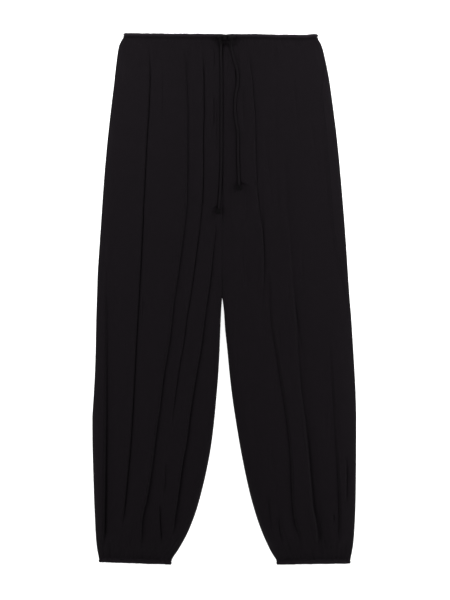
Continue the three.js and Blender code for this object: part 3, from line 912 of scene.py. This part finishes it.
panels = {}
cuts = {}
for side in ("right", "left"):
    for layer, grid_of in (("front", front_grid), ("back", back_grid)):
        grid, down = grid_of(side)
        piece, flat = panel(f"cloth_{layer}_{side}", grid, down, flip=(side == "right"))
        area = cloth_area(piece)
        apply_modifiers(piece)
        panels[layer, side] = piece
        cuts[layer, side] = flat, area
        print(f"{piece.name}: {len(piece.data.polygons)} faces")
        print(f"  cut from {flat[0]:.3f} by {flat[1]:.3f} m, {area:.3f} m2")

# %% [markdown]
# ## Casings
#
# A casing is the cloth's edge turned over an elastic and stitched down. The elastic pulls it into small
# puckers that run across it, and the row of stitches draws a furrow along it. It is a closed ring,
# flattened so that its front run lies on its back run. A torus could be squashed into that shape, but the
# puckers need a fine even grid, so rings of points are placed along the path.

# %% Casings
WAIST_HIGH, WAIST_THICK = 9.2, 5.5
HEM_HIGH, HEM_THICK = 9.4, 4.6
STITCHED = 2.2  # from the middle of a casing to its row of stitches
PUCKER_APART = 4.8
RING_APART, RING_POINTS = 0.8, 40  # rings of points along a casing, and the points of one
TURN_RINGS = 13  # rings at each end, where the front run turns into the back run


def boxy(wave):
    """A sine or cosine that turns a circle into a shape a little nearer to a box."""
    return np.sign(wave) * np.abs(wave) ** 0.8


def casing(name, left, right, middle, high, thick, seed, pucker, stitched):
    """A flattened ring of puckered casing between two places along X. middle gives Y for each X.

    stitched is how far along Y from the middle its row of stitches lies, where the cloth is drawn in.
    """
    radius = (thick + SEAM_GAP) / 2
    centre = thick + SEAM_GAP / 2
    a, b = left + radius + thick / 2, right - radius - thick / 2
    run = np.linspace(a, b, int((b - a) / RING_APART))
    turn = np.linspace(math.pi / 2, -math.pi / 2, TURN_RINGS + 1)
    xs = np.concatenate([run[:-1], np.full(TURN_RINGS, b), run[:0:-1], np.full(TURN_RINGS, a)])
    level = np.full(len(run) - 1, math.pi / 2)
    angle = np.concatenate([level, turn[:-1], -level, turn[:-1] + math.pi])
    out = np.stack([np.cos(angle), np.zeros_like(angle), np.sin(angle)], axis=1)
    origin = np.stack([xs, middle(xs), np.full_like(xs, centre)], axis=1) + radius * out
    along = np.concatenate([[0], np.cumsum(np.linalg.norm(np.diff(origin, axis=0), axis=1))])
    total = along[-1]
    random = np.random.default_rng(seed)
    puckers = np.zeros_like(along)
    lean = np.zeros_like(along)
    count = int(total / PUCKER_APART)
    for k in range(count):
        where = (k + random.uniform(0.1, 0.9)) * total / count
        gap = (along - where + total / 2) % total - total / 2
        puckers += random.uniform(0.3, 1) * np.exp(-((gap / random.uniform(0.8, 1.8)) ** 2))
        lean += random.uniform(-1, 1) * np.exp(-((gap / 5) ** 2))
    around = np.linspace(0, 2 * math.pi, RING_POINTS, endpoint=False)
    c, s = np.cos(around), np.sin(around)
    shape_out, shape_y = boxy(c)[None], boxy(s)[None]
    shrink = pucker * np.minimum(puckers, 1.2)[:, None]
    half_y = high / 2 - 0.1 - 0.35 * shrink + 0.25 * lean[:, None] * np.sign(s)[None]
    furrow = 0.4 * thick * np.exp(-(((half_y * shape_y - stitched) / 1.2) ** 2))
    half_out = np.maximum(thick / 2 - 0.15 - shrink * (0.45 + 0.55 * np.abs(s))[None] - furrow, 0.3)
    points = origin[:, None] + (half_out * shape_out)[..., None] * out[:, None]
    points[..., 1] += half_y * shape_y
    points[..., 2] = np.maximum(points[..., 2], 0.05)
    rows, columns = points.shape[:2]
    across, lengthwise = np.broadcast_arrays(
        np.linspace(0, 2 * (high + thick), columns + 1)[None], np.append(along, total + RING_APART)[:, None]
    )
    faces, cut = grid_faces(rows, columns, across, lengthwise, ring=True, loop=True)
    piece = mesh_object(
        name, points.reshape(-1, 3), [face[::-1] for face in faces], cut.reshape(-1, 4, 2)[:, ::-1]
    )
    print(f"{name}: {len(piece.data.polygons)} faces, {count} puckers")
    return piece


def waist_middle(x):
    return LENGTH / 2 - waist_edge(x) - 5.8


def hem_middle(side):
    inner, outer = OUTLINE[f"{side}_inner"][-1], OUTLINE[f"{side}_side"][-1]
    return lambda x: -LENGTH / 2 + 5.5 + HEM_RISE[side] * (x - inner) / (outer - inner)


waist = casing(
    "cloth_waist_casing", -197.5, 183.5, waist_middle, WAIST_HIGH, WAIST_THICK, 31, 1.4, -STITCHED
)
hems = {
    side: casing(
        f"cloth_hem_casing_{side}", left, right, hem_middle(side), HEM_HIGH, HEM_THICK, seed, 1.3, STITCHED
    )
    for side, left, right, seed in (("right", -245.6, -102, 32), ("left", 101, 247, 33))
}

# %% [markdown]
# ## Stitches
#
# A row of small stitches holds each casing shut, on the front and on the back. One stitch is a stretched
# ball. It is modelled once and copied along the casing, each copy laid on the surface that is found by
# looking straight down, or up, at the casing. The copies of a casing are joined into one piece.

# %% Rows of stitches
STITCH_APART = 3.5


def one_stitch():
    bpy.ops.object.select_all(action="DESELECT")
    bpy.ops.mesh.primitive_uv_sphere_add(segments=8, ring_count=6, radius=0.5 * MM)
    stitch = bpy.context.active_object
    bpy.ops.object.mode_set(mode="EDIT")
    bpy.ops.mesh.select_all(action="SELECT")
    bpy.ops.transform.resize(value=(2.3, 0.55, 0.5))
    bpy.ops.object.mode_set(mode="OBJECT")
    bpy.ops.object.shade_smooth()
    return stitch


def stitch_row(name, casing_piece, left, right, line, seed):
    """Stitches along the front and the back of a casing. line gives Y for each X."""
    random = np.random.default_rng(seed)
    first = one_stitch()
    copies = []
    for from_z, direction in ((1, -1), (-1, 1)):
        for x in np.arange(left, right, STITCH_APART):
            x = x + random.uniform(-0.35, 0.35)
            y = line(x) + random.uniform(-0.15, 0.15)
            found, spot, _, _ = casing_piece.ray_cast((x * MM, y * MM, from_z), (0, 0, direction))
            if found:
                copy = first.copy()
                copy.data = first.data.copy()
                copy.location = spot
                copy.rotation_euler.z = random.uniform(-0.12, 0.12)
                bpy.context.scene.collection.objects.link(copy)
                copies.append(copy)
    bpy.data.objects.remove(first)
    bpy.context.view_layer.update()
    row = joined(name, copies)
    bpy.ops.object.transform_apply(location=True, rotation=True, scale=True)
    for vertex in row.data.vertices:
        vertex.co.z = max(vertex.co.z, 0.02 * MM)
    print(f"{name}: {len(copies)} stitches")
    return row


def joined(name, pieces):
    """Joins pieces into one and names it."""
    bpy.ops.object.select_all(action="DESELECT")
    for piece in pieces:
        piece.select_set(True)
    bpy.context.view_layer.objects.active = pieces[0]
    bpy.ops.object.join()
    pieces[0].name = pieces[0].data.name = name
    return pieces[0]


def shifted(middle, shift):
    return lambda x: middle(x) + shift


stitches = {"waist": stitch_row("stitches_waist", waist, -193, 179, shifted(waist_middle, -STITCHED), 41)}
for side, left, right, seed in (("right", -242, -106, 42), ("left", 105, 243, 43)):
    line = shifted(hem_middle(side), STITCHED)
    stitches[side] = stitch_row(f"stitches_hem_{side}", hems[side], left, right, line, seed)

# %% [markdown]
# ## Knots
#
# The two cords are tied once at the waist: each comes out of the casing, they twist round each other one
# and a half times and leave on the far side as tails. Each tail ends in an overhand knot, a loop that the
# end has gone through, with a short end left over.

# %% Knots
WAIST_KNOT_CORD, END_KNOT_CORD = 4.7, 3.5  # a cord pulled tight in a knot is thinner
END_KNOT_SIZE = 1.12
END_KNOT_FREE_END = [(-3.4, 3.2, 0.8), (-5.2, 4.4, 0.4)]
RIGHT_TAIL_TOP = [(-6.6, 501.2, 14.1), (-6.5, 498, 13.6), (-6.45, 494, 13.2)]
LEFT_TAIL_TOP = [(12.0, 501.2, 15.1), (12.4, 498, 14.7), (12.9, 494, 14.3)]


def waist_knot():
    """Two cords tied once, as one piece. Their ends run on a little inside the tails."""
    pieces = []
    axis = np.array([4.3, 508.4, 16.6])
    half, radius = 6.6, 2.5
    turns = np.linspace(-0.75, 0.75, 13)
    for phase, exit_, leave in (
        (0.0, (-11.5, 510.5, 8.0), LEFT_TAIL_TOP),
        (math.pi, (20.1, 510.2, 8.0), RIGHT_TAIL_TOP),
    ):
        flip = 1 if phase == 0 else -1
        twist = [
            axis + (flip * half * t / 0.75, radius * math.sin(2 * math.pi * t + phase + 0.9),
                    radius * math.cos(2 * math.pi * t + phase + 0.9))
            for t in turns
        ]
        start = [exit_, (exit_[0] + 0.6 * flip, 510.0, 12.5), (exit_[0] + 3 * flip, 509.6, 15.6)]
        end = [np.array(leave[0]) + (1.5 * flip, 4.4, 1.0), *leave]
        strand = "a" if flip > 0 else "b"
        cord, _, _ = braided_tube(f"knot_strand_{strand}", [*start, *twist, *end], WAIST_KNOT_CORD)
        pieces.append(cord)
    return joined("cord_waist_knot", pieces)


def end_knot(side, centre, lean):
    """An overhand knot at the end of a tail: a trefoil that is open at the top, where the cord comes in.

    Its cord starts a little inside the tail, and its short free end looks out beside it.
    """
    t = np.linspace(math.pi + 0.45, 3 * math.pi - 0.75, 41)
    loops = END_KNOT_SIZE * np.stack(
        [np.sin(t) + 2 * np.sin(2 * t), 2 * np.cos(2 * t) - np.cos(t), 1.55 * np.sin(3 * t)], axis=1
    )
    loops = np.vstack([loops, END_KNOT_FREE_END])
    turned = loops.copy()
    turned[:, 0] = loops[:, 0] * math.cos(lean) - loops[:, 1] * math.sin(lean)
    turned[:, 1] = loops[:, 0] * math.sin(lean) + loops[:, 1] * math.cos(lean)
    inside_tail = tails[side]["line"][[-9, -5, -1]] / MM
    line = np.vstack([inside_tail, turned + np.array(centre)])
    piece, _, _ = braided_tube(f"cord_end_knot_{side}", line, END_KNOT_CORD)
    return piece


knot = waist_knot()
ends = {
    "right": end_knot("right", (-10.9, 169.4, 16.6), -0.12),
    "left": end_knot("left", (29.0, 215.4, 17.2), 0.1),
}

# %% [markdown]
# ## Materials
#
# A material's maths is written as Python expressions. A Field wraps one output socket, and adding,
# subtracting or multiplying fields adds the Math nodes. A Finish is one material: its node method makes any
# other node.

# %% Shader maths
class Field:
    """A number that changes over the surface."""

    def __init__(self, finish, socket):
        self.finish, self.socket = finish, socket

    def _maths(self, operation, *values):
        return self.finish.node("ShaderNodeMath", {"operation": operation}, *values)[0]

    def __add__(self, other):
        return self._maths("ADD", self, other)

    def __sub__(self, other):
        return self._maths("SUBTRACT", self, other)

    def __mul__(self, other):
        return self._maths("MULTIPLY", self, other)

    def __rsub__(self, other):
        return self._maths("SUBTRACT", other, self)

    __radd__, __rmul__ = __add__, __mul__

    def wave(self):
        return self._maths("SINE", self)


class Finish:
    """A material with one Principled BSDF, whose uniform values are set on its own sockets."""

    def __init__(self, name, **values):
        self.material = bpy.data.materials.new(name)
        self.material.use_nodes = True
        self.tree = self.material.node_tree
        self.shader = self.tree.nodes["Principled BSDF"]
        for socket, value in values.items():
            self.shader.inputs[socket.replace("_", " ")].default_value = value

    def node(self, kind, settings, *values, **named):
        """Adds a node. Its settings come first, then its sockets' values or links, in order or by name."""
        node = self.tree.nodes.new(kind)
        for setting, value in settings.items():
            setattr(node, setting, value)
        for key, value in [*enumerate(values), *((name.replace("_", " "), v) for name, v in named.items())]:
            socket = node.inputs[key]
            if isinstance(value, Field):
                self.tree.links.new(value.socket, socket)
            else:
                socket.default_value = value
        return [Field(self, socket) for socket in node.outputs]

    def feed(self, socket, field):
        self.tree.links.new(field.socket, self.shader.inputs[socket])

    def cut_place(self):
        """The place on the flat cut, in metres: across the cloth and along it, and the pair as a vector."""
        vector = self.node("ShaderNodeUVMap", {"uv_map": "cut"})[0]
        across, along, _ = self.node("ShaderNodeSeparateXYZ", {}, vector)
        return vector, across, along

    def noise(self, vector, scale, detail=2.0, roughness=0.5, distortion=0.0):
        return self.node(
            "ShaderNodeTexNoise", {}, Vector=vector, Scale=scale, Detail=detail, Roughness=roughness,
            Distortion=distortion,
        )[0]

    def bump(self, height, distance, strength):
        normal = self.node("ShaderNodeBump", {}, Strength=strength, Distance=distance, Height=height)[0]
        self.feed("Normal", normal)

    def mix(self, share, first, second):
        """A colour between two others: a Mix node takes them in inputs 6 and 7 and gives it in output 2."""
        colours = {6: (*first, 1), 7: (*second, 1)}
        node = self.tree.nodes.new("ShaderNodeMix")
        node.data_type = "RGBA"
        self.tree.links.new(share.socket, node.inputs[0])
        for index, colour in colours.items():
            node.inputs[index].default_value = colour
        return Field(self, node.outputs[2])


# %% [markdown]
# ### Crepe
#
# Crepe is woven from hard-twisted threads that shrink back into a fine pebbled surface. From a step away it
# is an even matt black with a soft sheen where it turns away. The weave is a pair of crossing waves on the
# flat cut, broken up by noise, with pebbles about a millimetre across on top. The waist casing shows a
# lighter rolled edge over a darker row of stitches. The lamps bring out part of that, and a painted
# highlight on the edge and painted shade over the stitches in its colour bring out more.

# %% Crepe
WARP_APART, WEFT_APART = 0.00062, 0.00055  # in metres, as the flat cut is


def crepe(name, colour, lighter, rolled=0):
    """Crepe cloth. rolled is the length once round a casing whose colour gets a painted highlight on its
    rolled edge and painted shade at its stitches.
    """
    finish = Finish(
        name, Roughness=0.72, Specular_IOR_Level=0.04, Sheen_Weight=0.02, Sheen_Roughness=0.5,
    )
    vector, across, along = finish.cut_place()
    waver = finish.noise(vector, 900.0, 2.0) * 2.2
    warp = (across * (2 * math.pi / WARP_APART) + waver).wave()
    weft = (along * (2 * math.pi / WEFT_APART) + waver).wave()
    pebbles = finish.noise(vector, 1100.0, 3.0, 0.6)
    slubs = finish.noise(vector, 160.0, 2.0)
    crinkle = finish.noise(vector, 420.0, 3.0, 0.65, 0.6)
    finish.bump(0.35 * warp * weft + 1.4 * pebbles + 2.2 * crinkle + 0.5 * slubs, 0.0004, 0.9)
    tone_and_painted_light = finish.noise(vector, 38.0, 3.0, 0.6)
    # Painted light: round the waist casing the colour is lighter on the rolled edge, a painted highlight, and darker
    # at the stitches, painted shade.
    if rolled:
        tone_and_painted_light = 0.7 * (across * (2 * math.pi / rolled)).wave() + 0.2 * tone_and_painted_light + 0.4
    finish.feed("Base Color", finish.mix(tone_and_painted_light, colour, lighter))
    finish.feed("Roughness", 0.64 + 0.16 * slubs)
    return finish.material


def cord_finish(name, colour, lighter):
    finish = Finish(name, Roughness=0.6, Specular_IOR_Level=0.05, Sheen_Weight=0.01, Sheen_Roughness=0.4)
    vector, across, along = finish.cut_place()
    fibres = finish.noise(vector, 2600.0, 3.0, 0.6)
    strands = finish.noise(vector, 520.0, 2.0)
    round_turns = across * (2 * math.pi * STRANDS / (math.pi * CORD * MM))
    lay = along * (2 * math.pi * STRANDS / (BRAID_PITCH * MM))
    yarns = ((round_turns + lay) * 3).wave() * 0.35 + ((round_turns - lay) * 3).wave() * 0.35
    finish.bump(fibres + 0.8 * strands + yarns, 0.0003, 0.8)
    finish.feed("Base Color", finish.mix(strands, colour, lighter))
    finish.feed("Roughness", 0.52 + 0.2 * strands)
    return finish.material


def thread_finish():
    finish = Finish(
        "thread_black", Roughness=0.6, Specular_IOR_Level=0.05, Sheen_Weight=0.01, Sheen_Roughness=0.4,
    )
    object_place = finish.node("ShaderNodeTexCoord", {})[3]
    twist = finish.noise(object_place, 4200.0, 2.0)
    finish.bump(twist, 0.00008, 0.6)
    finish.feed("Base Color", finish.mix(twist, (0.0045, 0.0035, 0.0045), (0.006, 0.0048, 0.006)))
    finish.feed("Roughness", 0.42 + 0.2 * twist)
    return finish.material


crepe_cloth = crepe("black_crepe", (0.0055, 0.0041, 0.0055), (0.0064, 0.0048, 0.0064))
# The hem casings: the panels' crepe painted lighter, as painted light.
hem_crepe_painted_light = crepe("black_crepe_gathered", (0.0088, 0.0068, 0.0088), (0.0108, 0.0084, 0.0108))
# The waist casing: its colour has a painted highlight on the rolled edge and painted shade at the stitches.
waist_crepe_painted_light = crepe(
    "black_crepe_waist", (0.003, 0.0023, 0.003), (0.02, 0.0155, 0.02), 2 * (WAIST_HIGH + WAIST_THICK) * MM
)
braid = cord_finish("cord_braid", (0.0054, 0.0042, 0.0054), (0.007, 0.0055, 0.007))
# The knots: the tails' braid painted darker, as painted shade in their crevices.
knot_braid_painted_shade = cord_finish("cord_braid_knotted", (0.002, 0.0016, 0.002), (0.0034, 0.0027, 0.0034))
thread = thread_finish()

for piece in panels.values():
    piece.data.materials.append(crepe_cloth)
waist.data.materials.append(waist_crepe_painted_light)
for piece in hems.values():
    piece.data.materials.append(hem_crepe_painted_light)
for piece in stitches.values():
    piece.data.materials.clear()
    piece.data.materials.append(thread)
for tail in tails.values():
    tail["piece"].data.materials.append(braid)
for piece in (knot, *ends.values()):
    piece.data.materials.clear()
    piece.data.materials.append(knot_braid_painted_shade)

# %% [markdown]
# ## Table and light
#
# The table is an even white with no shadow to be seen, so the plane below has a white surface with some
# light of its own. Two long soft lamps stand along the sides, nearer to the waist than to the hems, so the
# light falls off towards the cuffs. A low one beyond the waist lights the rolled edge of the casing, two
# small ones light the waist's corners, and a weak one beyond the hems lights the folds there.

# %% Table
bpy.ops.object.select_all(action="DESELECT")
bpy.ops.mesh.primitive_plane_add(size=40, location=(0, 0, 0))
tabletop = bpy.context.active_object
tabletop.name = "table"
tabletop.data.materials.append(
    Finish(
        "table_white", Base_Color=(0.8, 0.8, 0.8, 1), Roughness=0.9, Specular_IOR_Level=0.1,
        Emission_Color=(1, 1, 1, 1), Emission_Strength=0.8,
    ).material
)
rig.stage(tabletop)


# %% Light
def soft_lamp(name, where, aim, long, high, energy):
    """A soft rectangular lamp that looks at a point, with its long side level."""
    lamp = bpy.data.lights.new(name, "AREA")
    lamp.shape, lamp.size, lamp.size_y, lamp.energy = "RECTANGLE", long, high, energy
    holder = bpy.data.objects.new(name, lamp)
    holder.location = where
    holder.rotation_mode = "QUATERNION"
    holder.rotation_quaternion = (Vector(aim) - Vector(where)).to_track_quat("-Z", "Y")
    bpy.context.scene.collection.objects.link(holder)


soft_lamp("lamp_right", (0.6, 0.1, 0.4), (0, 0.1, 0), 1.3, 0.24, 4.6)
soft_lamp("lamp_left", (-0.6, 0.1, 0.4), (0, 0.1, 0), 1.3, 0.24, 3.5)
soft_lamp("lamp_rim", (0, 0.84, 0.12), (0, 0.52, 0), 0.6, 0.12, 0.65)
soft_lamp("lamp_hems", (0, -0.95, 0.3), (0, -0.5, 0), 0.9, 0.2, 0.6)
soft_lamp("lamp_corner_right", (0.52, 0.56, 0.22), (0.2, 0.44, 0), 0.3, 0.15, 1.4)
soft_lamp("lamp_corner_left", (-0.52, 0.56, 0.22), (-0.2, 0.44, 0), 0.3, 0.15, 1.4)

world = bpy.data.worlds.new("studio")
world.use_nodes = True
world.node_tree.nodes["Background"].inputs["Color"].default_value = (1, 1, 1, 1)
world.node_tree.nodes["Background"].inputs["Strength"].default_value = 0.445
bpy.context.scene.world = world
bpy.context.scene.view_settings.view_transform = "Standard"

# %% [markdown]
# ## What each piece is
#
# Each piece rides on the garment's one body, stands for its solids and takes its finish from a slot of the
# record. The panels are sheets of cloth and the tails are cords, with their real sizes.

# %% Pieces and what they stand for
for (layer, side), piece in panels.items():
    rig.ride(piece, "root")
    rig.replaces(piece, f"{layer}_{side}")
    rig.slot(piece, "crepe")
casings = {"waist_casing": waist, "hem_casing_right": hems["right"], "hem_casing_left": hems["left"]}
for node, piece in casings.items():
    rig.ride(piece, "root")
    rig.replaces(piece, node)
    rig.slot(piece, "casing")
for piece in stitches.values():
    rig.ride(piece, "root")
    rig.slot(piece, "casing")
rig.ride(knot, "root")
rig.replaces(knot, "drawstring_knot")
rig.slot(knot, "cord")
for side, tail in tails.items():
    for piece, node in ((tail["piece"], f"drawstring_tail_{side}"), (ends[side], f"end_knot_{side}")):
        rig.ride(piece, "root")
        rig.replaces(piece, node)
        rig.slot(piece, "cord")
    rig.cord(
        tail["piece"], exit=tail["line"][0], length=tail["length"], diameter=CORD * MM, far_end="knot",
        stiffness="limp", lay="loose", path=tail["line"], with_pieces=[ends[side]],
    )

# %% The cut of each panel
for (layer, side), piece in panels.items():
    below = [f"cloth_back_{side}"] if layer == "front" else ["table"]
    extra = [hems[side], stitches[side]] if layer == "front" else []
    if (layer, side) == ("front", "right"):
        extra += [waist, stitches["waist"]]
    flat, area = cuts[layer, side]
    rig.sheet(piece, flat=flat, held="laid", rests_on=below, area=area, with_pieces=extra)

# %% Sizes, and the end
dressed_box = [list(corner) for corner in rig.bounds()]
with open("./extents.json", "w") as out:
    json.dump({"solids": solid_box, "dressed": dressed_box}, out)
print("dressed box in metres:", [[round(value, 4) for value in corner] for corner in dressed_box])
